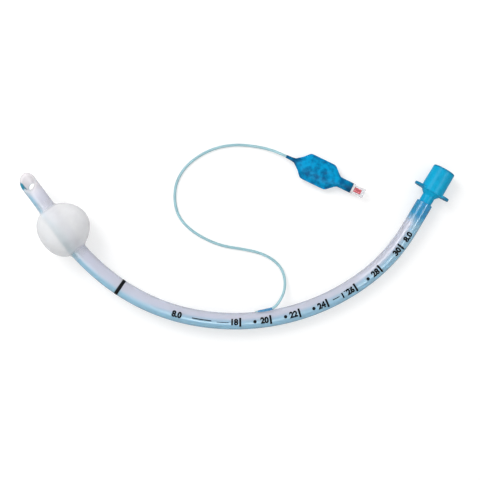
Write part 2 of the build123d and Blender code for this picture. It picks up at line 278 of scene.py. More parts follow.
def along_tube(distance):
    """The tube's middle this far from its machine end, and the ways to its tip and its inner bend."""
    x, y = MACHINE_END
    heading = math.radians(MACHINE_HEADING)
    left = distance
    for number, (length, turn) in enumerate(SPANS):
        length *= MM
        turn = math.radians(turn)
        step = left if number == len(SPANS) - 1 else min(left, length)
        bend = turn * step / length
        chord = step if abs(bend) < 1e-9 else 2 * (length / turn) * math.sin(bend / 2)
        x += chord * math.cos(heading - bend / 2)
        y += chord * math.sin(heading - bend / 2)
        heading -= bend
        left -= step
        if left <= 0:
            break
    place = Vector((0, 0, PLANE_HEIGHT)) + PLANE_X * x + PLANE_Y * y
    tipward = PLANE_X * math.cos(heading) + PLANE_Y * math.sin(heading)
    inner = PLANE_X * math.cos(heading - math.pi / 2) + PLANE_Y * math.sin(heading - math.pi / 2)
    return place, tipward, inner


def round_ring(middle, side, up, radius, steps, along):
    """A ring of (point, u, v) round a middle, from its side towards its up."""
    ring = []
    for k in range(steps):
        angle = TAU * k / steps
        point = middle + (side * math.cos(angle) + up * math.sin(angle)) * radius
        ring.append((point, along, k / steps))
    return ring


def skin(name, rings, loop_along=False, flip=False, ends=False):
    """Quads through rings of (point, u, v) and their UV map. Each ring closes on itself."""
    shape = bmesh.new()
    count = len(rings[0])
    vertices = [[shape.verts.new(point) for point, u, v in ring] for ring in rings]
    uv_map = shape.loops.layers.uv.new("around")
    pairs = list(zip(range(len(rings)), range(1, len(rings))))
    if loop_along:
        pairs.append((len(rings) - 1, 0))
    for low, high in pairs:
        for k in range(count):
            after = (k + 1) % count
            corners = [(low, k), (low, after), (high, after), (high, k)]
            if flip:
                corners.reverse()
            face = shape.faces.new([vertices[row][column] for row, column in corners])
            face.smooth = True
            for loop, (row, column) in zip(face.loops, corners):
                u, v = rings[row][column][1:]
                if column == 0 and k == count - 1:
                    v += 1.0
                loop[uv_map].uv = (u, v)
    if ends:
        for ring, turned in ((vertices[0], not flip), (vertices[-1], flip)):
            shape.faces.new(list(reversed(ring)) if turned else ring)
    mesh = bpy.data.meshes.new(name)
    shape.to_mesh(mesh)
    shape.free()
    piece = bpy.data.objects.new(name, mesh)
    bpy.context.scene.collection.objects.link(piece)
    return piece


def on_tube(distance, angle, radius):
    """A point round the tube's middle line. Angle 0 is its inner bend, and a quarter turn its top."""
    place, tipward, inner = along_tube(distance)
    return place + (inner * math.cos(angle) + UP * math.sin(angle)) * radius


def tube_ring(radius, distance_at):
    """One ring round the tube, whose distance along it may change with the angle."""
    ring = []
    for k in range(ROUND_STEPS):
        angle = TAU * k / ROUND_STEPS
        distance = distance_at(angle)
        ring.append((on_tube(distance, angle, radius), distance, k / ROUND_STEPS))
    return ring


def bevel_cut(radius, setback):
    """The distance at which the bevel meets a line at this radius, for each angle, less a setback."""
    return lambda angle: TUBE_LENGTH - (radius * math.sin(angle) + TUBE_R) / BEVEL_SLOPE - setback


bevel_starts = TUBE_LENGTH - 2 * TUBE_R / BEVEL_SLOPE - BEVEL_MARGIN
stations = [RIM_DEPTH + i * STATION for i in range(int(bevel_starts / STATION))]


def wall_rows(radius):
    """The rows of one wall from the machine end, over its even stations and on to the bevel."""
    rows = [tube_ring(radius, lambda angle, d=distance: d) for distance in stations]
    cut = bevel_cut(radius, RIM_DEPTH)
    for i in range(1, BEVEL_ROWS):
        share = i / BEVEL_ROWS
        rows.append(tube_ring(radius, lambda angle: stations[-1] * (1 - share) + cut(angle) * share))
    return rows


tube_rows = wall_rows(TUBE_R)
tube_rows += [tube_ring(r * MM, bevel_cut(r * MM, setback * MM)) for r, setback in RIM]
tube_rows += list(reversed(wall_rows(BORE_R)))
tube_rows += [tube_ring(r * MM, lambda angle, s=setback * MM: s) for r, setback in reversed(RIM[1:-1])]
tube = skin("vinyl_tube", tube_rows, loop_along=True, flip=True)

channel_rows = []
for i in range(int((TUBE_LENGTH - CHANNEL_SEALED - CHANNEL_STARTS) / CHANNEL_STATION)):
    distance = CHANNEL_STARTS + i * CHANNEL_STATION
    place, tipward, inner = along_tube(distance)
    channel_rows.append(round_ring(place + inner * CHANNEL_AT, inner, UP, CHANNEL_R, CHANNEL_STEPS, distance))
channel = skin("inflation_channel", channel_rows, ends=True)


def subtract(piece, cutter):
    """Cuts one closed mesh out of another and deletes the cutter."""
    cut = piece.modifiers.new("cut", "BOOLEAN")
    cut.operation = "DIFFERENCE"
    cut.solver = "EXACT"
    cut.object = cutter
    bpy.context.view_layer.update()
    cut_mesh = bpy.data.meshes.new_from_object(piece.evaluated_get(bpy.context.evaluated_depsgraph_get()))
    piece.modifiers.clear()
    old = piece.data
    piece.data = cut_mesh
    bpy.data.meshes.remove(old)
    bpy.data.objects.remove(cutter)


EYE_LENGTH = 8.5 * MM
EYE_WIDTH = 5.5 * MM
EYE_FROM_TIP = 13.0 * MM
EYE_STEPS = 32
PUNCH_FROM = 1.0 * MM
PUNCH_TO = 8.0 * MM
SHARP_ANGLE = math.radians(40)


def eye_ring(depth):
    """The eye's round-ended outline at a depth below the tube's middle line."""
    place, tipward, inner = along_tube(TUBE_LENGTH - EYE_FROM_TIP)
    ring = []
    for k in range(EYE_STEPS):
        angle = TAU * k / EYE_STEPS
        straight = math.copysign((EYE_LENGTH - EYE_WIDTH) / 2, math.cos(angle))
        ring.append((place - UP * depth + tipward * (straight + math.cos(angle) * EYE_WIDTH / 2)
                     + inner * math.sin(angle) * EYE_WIDTH / 2, 0.0, k / EYE_STEPS))
    return ring


subtract(tube, skin("eye_punch", [eye_ring(PUNCH_FROM), eye_ring(PUNCH_TO)], ends=True))
tube.data.set_sharp_from_angle(angle=SHARP_ANGLE)
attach(tube, "tube_set")
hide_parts("airway_tube")

# Medical PVC: clear, with a faint milky haze from its plasticiser and a lilac cast over white. The
# stripe's own blue is in the wall of the outer bend; the pale blue over the half next to it is painted
# refraction of the stripe through the wall. Under the cuff a wide teal band is painted round the stripe
# for the film's scatter, at the cut tip a deep teal is painted where the stripe is seen end on, and
# the insert's cyan is painted onto the wall, fading out past the insert's end.
STRIPE_NARROWS_FROM = TUBE_LENGTH - 150 * MM
TIP_STARTS = TUBE_LENGTH - 28 * MM
TIP_CLEAR = TUBE_LENGTH - 12 * MM
TIP_TEAL_FROM = TUBE_LENGTH - 17 * MM
TIP_TEAL_TO = TUBE_LENGTH - 11 * MM
UNDER_CUFF = TUBE_LENGTH - 49 * MM
UNDER_CUFF_NEAR = 6 * MM
UNDER_CUFF_FAR = 16 * MM
INSERT_ENDS = 10.5 * MM
PAINTED_CYAN_FROM = INSERT_ENDS - 1.0 * MM
PAINTED_CYAN_TO = INSERT_ENDS + 6.0 * MM
clear_vinyl, tree, shader = material("clear_vinyl", Roughness=0.17, IOR=1.45)
uv = add(tree, "ShaderNodeUVMap", {"uv_map": "around"})
parts = add(tree, "ShaderNodeSeparateXYZ", links={"Vector": uv.outputs["UV"]})
along_it, round_it = parts.outputs["X"], parts.outputs["Y"]
side = add(tree, "ShaderNodeMath", {"operation": "SUBTRACT"}, {1: 0.5}, {0: round_it})
from_stripe = add(tree, "ShaderNodeMath", {"operation": "ABSOLUTE"}, links={0: side.outputs[0]})
narrow = add(tree, "ShaderNodeMapRange", values={
    "From Min": STRIPE_NARROWS_FROM, "From Max": TIP_STARTS, "To Min": 1.0, "To Max": 1.7},
    links={"Value": along_it})
off = add(tree, "ShaderNodeMath", {"operation": "MULTIPLY"}, links={
    0: from_stripe.outputs[0], 1: narrow.outputs["Result"]})
# The stripe's own blue, then pale blue painted over the half next to it as painted refraction of the stripe.
stripe_and_painted_wash = add(tree, "ShaderNodeValToRGB", links={"Fac": off.outputs[0]}, stops=(
    (0.050, "#55AACC"), (0.080, "#BBE0F0"), (0.235, "#BEE4F6"), (0.325, "#EBEBF5")))
# Under the cuff: a wide teal band painted round the stripe for the film's scatter.
painted_teal_under_cuff = add(tree, "ShaderNodeValToRGB", links={"Fac": off.outputs[0]}, stops=(
    (0.27, "#34AEBE"), (0.46, "#EBEBF5")))
# At the tip: the tip's own pale tint, with deep teal painted where the stripe is seen end on.
tip_tint_and_painted_teal = add(tree, "ShaderNodeValToRGB", links={"Fac": off.outputs[0]}, stops=(
    (0.085, "#1A8FAC"), (0.15, "#ECE8EB")))
cuff_way = add(tree, "ShaderNodeMath", {"operation": "SUBTRACT"}, {1: UNDER_CUFF}, {0: along_it})
from_cuff = add(tree, "ShaderNodeMath", {"operation": "ABSOLUTE"}, links={0: cuff_way.outputs[0]})
in_cuff = add(tree, "ShaderNodeMapRange", values={
    "From Min": UNDER_CUFF_NEAR, "From Max": UNDER_CUFF_FAR, "To Min": 1.0, "To Max": 0.0},
    links={"Value": from_cuff.outputs[0]})
at_tip = add(tree, "ShaderNodeMapRange", values={"From Min": TIP_TEAL_FROM, "From Max": TIP_TEAL_TO},
             links={"Value": along_it})
# Painted cyan of the insert seen through the wall, full over the insert and fading out past its end.
painted_cyan_mask = add(tree, "ShaderNodeMapRange", values={
    "From Min": PAINTED_CYAN_FROM, "From Max": PAINTED_CYAN_TO, "To Min": 1.0, "To Max": 0.0},
    links={"Value": along_it})
with_painted_cuff_teal = add(tree, "ShaderNodeMix", {"data_type": "RGBA"}, links={
    0: in_cuff.outputs["Result"], 6: stripe_and_painted_wash.outputs["Color"], 7: painted_teal_under_cuff.outputs["Color"]})
with_painted_tip_teal = add(tree, "ShaderNodeMix", {"data_type": "RGBA"}, links={
    0: at_tip.outputs["Result"], 6: with_painted_cuff_teal.outputs[2], 7: tip_tint_and_painted_teal.outputs["Color"]})
with_painted_insert_cyan = add(tree, "ShaderNodeMix", {"data_type": "RGBA"}, {7: linear("#40B8E0")}, {
    0: painted_cyan_mask.outputs["Result"], 6: with_painted_tip_teal.outputs[2]})
tree.links.new(with_painted_insert_cyan.outputs[2], shader.inputs["Base Color"])
clarity = add(tree, "ShaderNodeMapRange", values={
    "From Min": TIP_STARTS, "From Max": TIP_CLEAR, "To Min": 0.62, "To Max": 0.45},
    links={"Value": along_it})
tree.links.new(clarity.outputs["Result"], shader.inputs["Transmission Weight"])
tube.data.materials.append(clear_vinyl)
channel.data.materials.append(clear_vinyl)
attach(channel, "tube_set")

# Depth print: black ink pad-printed on top of the tube, with a bar and a number at each 2 cm, dots at
# the odd centimetres, a ring past the cuff, and a few plain rules where the real tube has small print.
INK_INNER = 5.49 * MM
INK_OUTER = 5.54 * MM
INK_SHEET = 0.1 * MM
DIGIT_HEIGHT = 3.9 * MM
DIGIT_SIZE = DIGIT_HEIGHT / 0.70
DIGIT_NARROW = 0.95
DIGIT_BOLD = 0.058
BAR_HEIGHT = 6.3 * MM
BAR_WIDTH = 1.35 * MM
DOT_R = 1.15 * MM
DOT_SIDES = 20
GAP = 0.75 * MM
SLICE_ALONG = 2.0 * MM
SLICE_ROUND = 0.4 * MM
# How the print wanders off the tube's top: mm from the tip, and mm towards the inner bend.
DRIFT = [(0.0, 0.0), (222.0, 0.0), (243.0, -0.55), (283.0, -0.55), (303.0, -1.05), (336.0, -1.05)]
# The marks, each with its distance from the tip in mm, then a dot's share of the full size, or a rule's
# length, height and shift towards the inner bend in mm.
BARS = [("18", 182.1), ("20", 202.3), ("22", 221.9), ("24", 241.4), ("26", 262.7), ("28", 283.0),
        ("30", 302.9)]
DOTS = [(191.8, 1.0), (212.3, 1.0), (231.8, 1.0), (272.6, 1.0), (298.6, 0.45)]
SHORT_BAR_AT = 252.8 * MM
SIZES_AT = (143.0, 314.0)
RULES = [(248.0, 5.0, 0.55, 0.5), (257.4, 6.0, 0.5, 1.9), (156.5, 13.0, 0.7, 0.3), (170.5, 8.0, 0.4, -0.2)]
RING_AT = 98.3 * MM
RING_WIDTH = 2.4 * MM
ink_work = bmesh.new()


def print_line(from_tip):
    """How far the print sits off the top of the tube, towards the inner bend, in metres."""
    for (start, low), (end, high) in zip(DRIFT, DRIFT[1:]):
        if from_tip <= end * MM:
            share = (from_tip / MM - start) / (end - start)
            return (low + (high - low) * share) * MM
    return DRIFT[-1][1] * MM


def stamp(flat, from_tip, across=0.0):
    """Slices a flat shape finely, wraps it round the tube this far from the tip, and adds it to the ink."""
    for normal, pitch in (((1, 0, 0), SLICE_ALONG), ((0, 1, 0), SLICE_ROUND)):
        axis = Vector(normal)
        reach = [vert.co.dot(axis) for vert in flat.verts]
        for i in range(math.ceil(min(reach) / pitch), math.ceil(max(reach) / pitch)):
            everything = flat.verts[:] + flat.edges[:] + flat.faces[:]
            bmesh.ops.bisect_plane(flat, geom=everything, plane_co=axis * (i * pitch), plane_no=axis)
    for vert in flat.verts:
        x, y, z = vert.co
        radius = INK_OUTER if z > 0 else INK_INNER
        angle = math.pi / 2 - (print_line(from_tip) + across + y) / TUBE_R
        vert.co = on_tube(TUBE_LENGTH - from_tip - x, angle, radius)
    mesh = bpy.data.meshes.new("stamp")
    flat.to_mesh(mesh)
    flat.free()
    ink_work.from_mesh(mesh)
    bpy.data.meshes.remove(mesh)


def block(from_tip, length, height, across=0.0):
    """A printed bar or rule that is length long along the tube."""
    flat = bmesh.new()
    bmesh.ops.create_cube(flat, size=1.0)
    bmesh.ops.scale(flat, vec=(length, height, INK_SHEET), verts=flat.verts)
    stamp(flat, from_tip, across)


def dot(from_tip, radius):
    """A printed dot."""
    flat = bmesh.new()
    bmesh.ops.create_cone(flat, cap_ends=True, segments=DOT_SIDES, radius1=radius, radius2=radius,
                          depth=INK_SHEET)
    stamp(flat, from_tip)


def number(text, from_tip):
    """A printed number whose right end is this far from the tip, read with the inner bend at its top."""
    letters = bpy.data.curves.new("number", "FONT")
    letters.body = text
    letters.size = DIGIT_SIZE
    letters.offset = DIGIT_BOLD * DIGIT_SIZE
    letters.extrude = INK_SHEET / 2
    letters.resolution_u = 3
    letters.align_x = "RIGHT"
    letters.align_y = "CENTER"
    holder = bpy.data.objects.new("number", letters)
    bpy.context.scene.collection.objects.link(holder)
    bpy.context.view_layer.update()
    seen_now = bpy.context.evaluated_depsgraph_get()
    mesh = bpy.data.meshes.new_from_object(holder.evaluated_get(seen_now))
    bpy.data.objects.remove(holder)
    flat = bmesh.new()
    flat.from_mesh(mesh)
    bmesh.ops.remove_doubles(flat, verts=flat.verts, dist=1e-6)
    bmesh.ops.scale(flat, vec=(DIGIT_NARROW, 1.0, 1.0), verts=flat.verts)
    bpy.data.meshes.remove(mesh)
    stamp(flat, from_tip)


for label, distance in BARS:
    block(distance * MM, BAR_WIDTH, BAR_HEIGHT)
    number(label, distance * MM - BAR_WIDTH / 2 - GAP)
for distance, share in DOTS:
    dot(distance * MM, DOT_R * share)
block(SHORT_BAR_AT, BAR_WIDTH * 0.8, BAR_HEIGHT * 0.62)
for distance in SIZES_AT:
    number("8.0", distance * MM)
for distance, length, height, across in RULES:
    block(distance * MM, length * MM, height * MM, across * MM)
ring_rows = [tube_ring(radius, lambda angle, d=TUBE_LENGTH - RING_AT + side * RING_WIDTH / 2: d)
             for radius, side in ((INK_INNER, -1), (INK_INNER, 1), (INK_OUTER, 1), (INK_OUTER, -1))]
ink_ring = skin("ring_mark", ring_rows, loop_along=True)
ink_mesh = bpy.data.meshes.new("depth_marks")
ink_work.to_mesh(ink_mesh)
ink_work.free()
ink_marks = bpy.data.objects.new("depth_marks", ink_mesh)
bpy.context.scene.collection.objects.link(ink_marks)

# Vinyl ink: near black, matt, and a little thin where the pad has worn.
INK_WEAR = 1.2 * MM
ink, tree, shader = material("black_ink", Roughness=0.6, Specular_IOR_Level=0.1)
place = add(tree, "ShaderNodeTexCoord")
wear = add(tree, "ShaderNodeTexNoise", values={"Scale": 1 / INK_WEAR, "Detail": 3.0},
           links={"Vector": place.outputs["Object"]})
shade = add(tree, "ShaderNodeValToRGB", links={"Fac": wear.outputs["Fac"]}, stops=(
    (0.40, "#020305"), (0.75, "#0B1014")))
tree.links.new(shade.outputs["Color"], shader.inputs["Base Color"])
for marks in (ink_marks, ink_ring):
    marks.data.materials.append(ink)
    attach(marks, "tube_set")

# Cuff: a balloon blown from thin milky film, bonded to the tube by a collar at each end and puckered
# where it is drawn in to them. Inflated, it hangs a little towards the inner bend.
CUFF_AT = TUBE_LENGTH - 45.0 * MM
CUFF_R = 17.0 * MM
CUFF_STRAIGHT = 1.0 * MM
CUFF_OFFSET = 1.9 * MM
CUFF_FILM = 0.08 * MM
CUFF_STEPS = 96
ARC_POINTS = 27
ARC_STEP = 2.5
# The neck and collar that each side ends in: mm from the cuff's middle, and radius in mm.
CUFF_NECK = [(16.1, 6.75), (16.7, 6.2), (17.5, 5.85), (18.6, 5.72), (21.0, 5.68), (21.4, 5.64), (21.5, 5.53)]
FILM_CLEARANCE = 0.02 * MM
PUCKERS = 18
PUCKER_DEPTH = 0.012
PUCKERS_FROM = 9.0 * MM
PUCKERS_FULL = 17.0 * MM
PUCKERS_FADE = 1.5 * MM

half_profile = []
for i in range(ARC_POINTS):
    around = math.radians(90 - i * ARC_STEP)
    half_profile.append((CUFF_STRAIGHT / 2 + CUFF_R * math.cos(around), CUFF_R * math.sin(around)))
half_profile += [(along * MM, radius * MM) for along, radius in CUFF_NECK]
cuff_profile = [(-along, radius) for along, radius in reversed(half_profile)] + half_profile


def cuff_rows(inset):
    """The film's rings from collar to collar, drawn in by inset."""
    rows = []
    for along, radius in cuff_profile:
        place, tipward, inner = along_tube(CUFF_AT + along)
        hang = CUFF_OFFSET * max(0.0, 1 - (along / CUFF_R) ** 2)
        puckered = max(0.0, (abs(along) - PUCKERS_FROM) / (PUCKERS_FULL - PUCKERS_FROM))
        puckered *= max(0.0, 1 - max(0.0, abs(along) - PUCKERS_FULL) / PUCKERS_FADE)
        ring = []
        for k in range(CUFF_STEPS):
            angle = TAU * k / CUFF_STEPS
            pucker = 1 + PUCKER_DEPTH * min(1.0, puckered) * math.cos(PUCKERS * angle)
            reach = max(radius * pucker - inset, TUBE_R + FILM_CLEARANCE)
            point = place + inner * (hang + math.cos(angle) * reach) + UP * math.sin(angle) * reach
            ring.append((point, along, k / CUFF_STEPS))
        rows.append(ring)
    return rows


cuff = skin("cuff_balloon", cuff_rows(0) + list(reversed(cuff_rows(CUFF_FILM))), loop_along=True)
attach(cuff, "tube_set")
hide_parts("cuff")

# PVC film, blown: milky, with fine haze and a soft gloss. It is too thin to bend the light, so part of
# the tube behind it is simply seen. On the bonded collars it has melted clear.
HAZE_PITCH = 9 * MM
COLLAR_FROM = 15.0 * MM
COLLAR_FULL = 17.5 * MM
COLLAR_OPACITY = 0.10
cuff_film, tree, shader = material("cuff_film", Roughness=0.42, IOR=1.45, Specular_IOR_Level=0.25)
place = add(tree, "ShaderNodeTexCoord")
haze = add(tree, "ShaderNodeTexNoise", values={"Scale": 1 / HAZE_PITCH, "Detail": 4.0},
           links={"Vector": place.outputs["Object"]})
milk = add(tree, "ShaderNodeValToRGB", links={"Fac": haze.outputs["Fac"]}, stops=(
    (0.35, "#F6F6F8"), (0.65, "#FCFCFE")))
tree.links.new(milk.outputs["Color"], shader.inputs["Base Color"])
milky = add(tree, "ShaderNodeMapRange", values={
    "From Min": 0.3, "From Max": 0.7, "To Min": 0.42, "To Max": 0.35}, links={"Value": haze.outputs["Fac"]})
uv = add(tree, "ShaderNodeUVMap", {"uv_map": "around"})
parts = add(tree, "ShaderNodeSeparateXYZ", links={"Vector": uv.outputs["UV"]})
off = add(tree, "ShaderNodeMath", {"operation": "ABSOLUTE"}, links={0: parts.outputs["X"]})
bonded = add(tree, "ShaderNodeMapRange", values={"From Min": COLLAR_FROM, "From Max": COLLAR_FULL},
             links={"Value": off.outputs[0]})
opacity = add(tree, "ShaderNodeMix", {"data_type": "FLOAT"}, {3: COLLAR_OPACITY}, {
    0: bonded.outputs["Result"], 2: milky.outputs["Result"]})
tree.links.new(opacity.outputs[0], shader.inputs["Alpha"])
cuff.data.materials.append(cuff_film)

# Connector: one moulded piece of cyan polypropylene with the standard 15 mm cone, two ears for the
# fingers and an insert that is pushed into the tube. Its shape is the modelled one.
CONE_MOUTH = Vector((136.458 * MM, 51.133 * MM, 8.508 * MM))
CONE_OUT = Vector((0.505398, 0.861917, 0.040894))
CONE_R = 7.61 * MM
EARS_FROM = CONE_R + 0.8 * MM
EARS_FULL = CONE_R + 1.6 * MM
MOUTH_FROM = -1.5 * MM
MOUTH_FULL = -0.5 * MM

# Polypropylene, moulded: satin, with faint flow marks in its dye. The thin ears and the mouth's edge
# have painted shade: a deeper blue mixed into the dye there.
FLOW_PITCH = 6 * MM
polypropylene, tree, shader = material(
    "cyan_polypropylene", Roughness=0.36, IOR=1.49, Specular_IOR_Level=0.12)
place = add(tree, "ShaderNodeTexCoord")
flow = add(tree, "ShaderNodeTexNoise", values={"Scale": 1 / FLOW_PITCH, "Detail": 3.0},
           links={"Vector": place.outputs["Object"]})
dye_and_painted_relief = add(tree, "ShaderNodeValToRGB", links={"Fac": flow.outputs["Fac"]}, stops=(
    (0.35, "#009CC8"), (0.65, "#00A8D4")))
from_mouth = add(tree, "ShaderNodeVectorMath", {"operation": "SUBTRACT"}, {1: CONE_MOUTH}, {
    0: place.outputs["Object"]})
depth = add(tree, "ShaderNodeVectorMath", {"operation": "DOT_PRODUCT"}, {1: CONE_OUT}, {
    0: from_mouth.outputs["Vector"]})
sideways = add(tree, "ShaderNodeVectorMath", {"operation": "CROSS_PRODUCT"}, {1: CONE_OUT}, {
    0: from_mouth.outputs["Vector"]})
reach = add(tree, "ShaderNodeVectorMath", {"operation": "LENGTH"}, links={0: sideways.outputs["Vector"]})
on_ears = add(tree, "ShaderNodeMapRange", values={"From Min": EARS_FROM, "From Max": EARS_FULL},
              links={"Value": reach.outputs["Value"]})
at_rim = add(tree, "ShaderNodeMapRange", values={"From Min": MOUTH_FROM, "From Max": MOUTH_FULL},
             links={"Value": depth.outputs["Value"]})
# Painted shade: the dye turns a deeper blue over the ears and at the mouth's edge.
painted_shade_mask = add(tree, "ShaderNodeMath", {"operation": "MAXIMUM"}, links={
    0: on_ears.outputs["Result"], 1: at_rim.outputs["Result"]})
dye_with_painted_shade = add(tree, "ShaderNodeMix", {"data_type": "RGBA"}, {7: linear("#007CA6")}, {
    0: painted_shade_mask.outputs[0], 6: dye_and_painted_relief.outputs["Color"]})
tree.links.new(dye_with_painted_shade.outputs[2], shader.inputs["Base Color"])
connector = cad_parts["connector"]
connector.data.materials.clear()
connector.data.materials.append(polypropylene)

# Bonding bead: blue-tinted adhesive that fills the notch round the line and seals it to the channel.
# It is run along the first stretch of the line, between these points of its route, and left to set.
BEAD_FROM = 0.30
BEAD_TO = 2.35
BEAD_ROWS = 14
BEAD_STEPS = 16
BEAD_THIN = 0.92 * MM
BEAD_SWELL = 0.50 * MM
TABLE_UP = Vector((0, 0, 1))
bead_rows = []
for i in range(BEAD_ROWS + 1):
    share = i / BEAD_ROWS
    along = BEAD_FROM + (BEAD_TO - BEAD_FROM) * share
    low = int(along)
    start, end = Vector(LINE_ROUTE[low]), Vector(LINE_ROUTE[low + 1])
    side = (end - start).normalized().cross(TABLE_UP).normalized()
    radius = BEAD_THIN + BEAD_SWELL * math.sin(math.pi * share) ** 0.6
    bead_rows.append(round_ring(start.lerp(end, along - low), side, TABLE_UP, radius, BEAD_STEPS, share))
bead = skin("bonding_bead", bead_rows, ends=True)

# Solvent cement, run on wet: glossy, half clear, with swirls of its dye.
SWIRL_PITCH = 2 * MM
adhesive, tree, shader = material("blue_adhesive", Roughness=0.22, IOR=1.5, Transmission_Weight=0.25)
place = add(tree, "ShaderNodeTexCoord")
swirl = add(tree, "ShaderNodeTexNoise", values={"Scale": 1 / SWIRL_PITCH, "Detail": 2.0},
            links={"Vector": place.outputs["Object"]})
blue = add(tree, "ShaderNodeValToRGB", links={"Fac": swirl.outputs["Fac"]}, stops=(
    (0.3, "#2B7FB6"), (0.7, "#4C9DCB")))
tree.links.new(blue.outputs["Color"], shader.inputs["Base Color"])
bead.data.materials.append(adhesive)
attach(bead, "tube_set")

# Pilot balloon: two sheets of soft blue vinyl welded along their rim into a six-sided pillow, with a
# tail that grips the line and a sleeve that grips the valve. Half inflated, its faces are dented.
BALLOON_AT = Vector((37.62 * MM, 57.75 * MM, 4.2 * MM))
BALLOON_DIR = Vector((0.899558, -0.436802, 0.0))
BALLOON_SIDE = Vector((0.436802, 0.899558, 0.0))
BALLOON_UP = Vector((0.0, 0.0, 1.0))
BALLOON_STEPS = 96
# Each row's place along the balloon, half width and half height in mm, and how far it is a pillow
# rather than round.
BALLOON_ROWS = [
    (-6.5, 1.0, 1.0, 0), (-6.2, 1.06, 1.06, 0), (-2.5, 1.22, 1.22, 0), (0.0, 1.65, 1.5, 0),
    (1.6, 2.9, 1.75, 0.5), (3.0, 4.0, 2.1, 1), (4.5, 5.3, 2.6, 1), (6.2, 7.2, 3.15, 1),
    (7.4, 8.5, 3.5, 1), (8.3, 8.95, 3.7, 1), (10.0, 9.1, 3.95, 1), (12.0, 9.1, 4.1, 1),
    (14.0, 9.1, 4.15, 1), (16.0, 9.1, 4.2, 1), (18.0, 9.1, 4.2, 1), (20.0, 9.1, 4.2, 1),
    (22.0, 9.1, 4.1, 1), (24.0, 9.1, 3.95, 1), (25.6, 8.95, 3.8, 1), (27.0, 8.2, 3.7, 1),
    (28.4, 7.0, 3.6, 1), (29.6, 5.9, 3.55, 1), (31.0, 4.6, 3.5, 0.6), (32.5, 3.6, 3.47, 0),
    (34.0, 3.5, 3.47, 0), (41.6, 3.47, 3.47, 0), (42.0, 3.3, 3.3, 0),
]
TAIL_END = BALLOON_ROWS[0][0]
SLEEVE_END = BALLOON_ROWS[-1][0]
BALLOON_MIDDLE = 16
TAIL_BORE = 0.95
SLEEVE_BORE = 2.97
FILM = 0.35 * MM
THINNEST_SHARE = 0.6
RIM_SHARE = 0.86
RIM_HALF = 0.45 * MM
BULGE_SQUARENESS = 2.4
BULGE_FULLNESS = 0.55
DENT_DEPTH = 0.75 * MM
DENT_PITCH = 3.6 * MM
DENTS_FADE_BY_RIM = 2.5
DENTS_FULL_AT = 8
UPPER_SHEET = 0.02
LOWER_SHEET_DENTS = 0.5


def balloon_point(along, across, height):
    """A place in the balloon's own directions, in metres."""
    return BALLOON_AT + BALLOON_DIR * along + BALLOON_SIDE * across + BALLOON_UP * height


def balloon_row(along, half_width, half_height, flat, inset, bore):
    """A ring of the balloon: round at its tail and sleeve, a welded pillow between them."""
    ring = []
    for k in range(BALLOON_STEPS):
        angle = TAU * k / BALLOON_STEPS
        across = math.cos(angle)
        round_height = math.sin(angle) * half_height * MM
        bulge = max(0.0, 1 - (abs(across) / RIM_SHARE) ** BULGE_SQUARENESS) ** BULGE_FULLNESS
        pillow_height = math.copysign(max(RIM_HALF, half_height * MM * bulge), math.sin(angle))
        if abs(math.sin(angle)) < 1e-9:
            pillow_height = 0.0
        height = round_height + (pillow_height - round_height) * flat
        wide = across * half_width * MM
        if flat and bulge > 0:
            upper = height > 0
            spot = Vector((along * MM, wide, UPPER_SHEET if upper else 0.0)) / DENT_PITCH
            dent = DENT_DEPTH * flat * min(1.0, DENTS_FADE_BY_RIM * bulge)
            dent *= min(1.0, half_width / DENTS_FULL_AT) * (1.0 if upper else LOWER_SHEET_DENTS)
            height -= math.copysign(dent * (0.5 + noise.noise(spot)), height)
        if inset and flat:
            height -= math.copysign(min(abs(height) * THINNEST_SHARE, inset), height)
            wide *= 1 - inset / (half_width * MM)
        elif inset:
            wide, height = across * bore * MM, math.sin(angle) * bore * MM
        ring.append((balloon_point(along * MM, wide, height), along, k / BALLOON_STEPS))
    return ring


outer_film = [balloon_row(*row, 0, 0) for row in BALLOON_ROWS]
inner_film = [balloon_row(*row, FILM, TAIL_BORE if row[0] < BALLOON_MIDDLE else SLEEVE_BORE)
              for row in BALLOON_ROWS]
balloon = skin("balloon_pillow", outer_film + list(reversed(inner_film)), loop_along=True, flip=True)
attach(balloon, "tube_set")
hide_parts("pilot_balloon")

# Soft calendered vinyl sheet, dyed through, with a light waxy gloss. Its colour holds painted shade in
# the hollows of its creases and painted highlight on their rises, from the same noise as the bump. It
# looks greyer where it is stretched over the line and over the valve.
RELIEF_PITCH = 4.4 * MM
CREASE_DEPTH = 0.4 * MM
blue_vinyl, tree, shader = material("blue_vinyl", Roughness=0.36, IOR=1.5, Specular_IOR_Level=0.05)
place = add(tree, "ShaderNodeTexCoord")
relief = add(tree, "ShaderNodeTexNoise", values={"Scale": 1 / RELIEF_PITCH, "Detail": 3.0},
             links={"Vector": place.outputs["Object"]})
# Painted shade and highlight: the dark stop sits where the bump is low, the light one where it is high.
dye_and_painted_relief = add(tree, "ShaderNodeValToRGB", links={"Fac": relief.outputs["Fac"]}, stops=(
    (0.36, "#005F90"), (0.62, "#0098CE")))
uv = add(tree, "ShaderNodeUVMap", {"uv_map": "around"})
parts = add(tree, "ShaderNodeSeparateXYZ", links={"Vector": uv.outputs["UV"]})
stretch = add(tree, "ShaderNodeMapRange", values={"From Min": TAIL_END, "From Max": SLEEVE_END},
              links={"Value": parts.outputs["X"]})
greyer = add(tree, "ShaderNodeValToRGB", links={"Fac": stretch.outputs["Result"]}, stops=(
    (0.10, "#A8B4BE"), (0.20, "#FFFFFF"), (0.86, "#FFFFFF"), (1.0, "#9CAEB4")))
dye_with_painted_shade = add(tree, "ShaderNodeMix", {"data_type": "RGBA", "blend_type": "MULTIPLY"}, {0: 1.0}, {
    6: dye_and_painted_relief.outputs["Color"], 7: greyer.outputs["Color"]})
tree.links.new(dye_with_painted_shade.outputs[2], shader.inputs["Base Color"])
crease = add(tree, "ShaderNodeBump", values={"Strength": 0.4, "Distance": CREASE_DEPTH},
             links={"Height": relief.outputs["Fac"]})
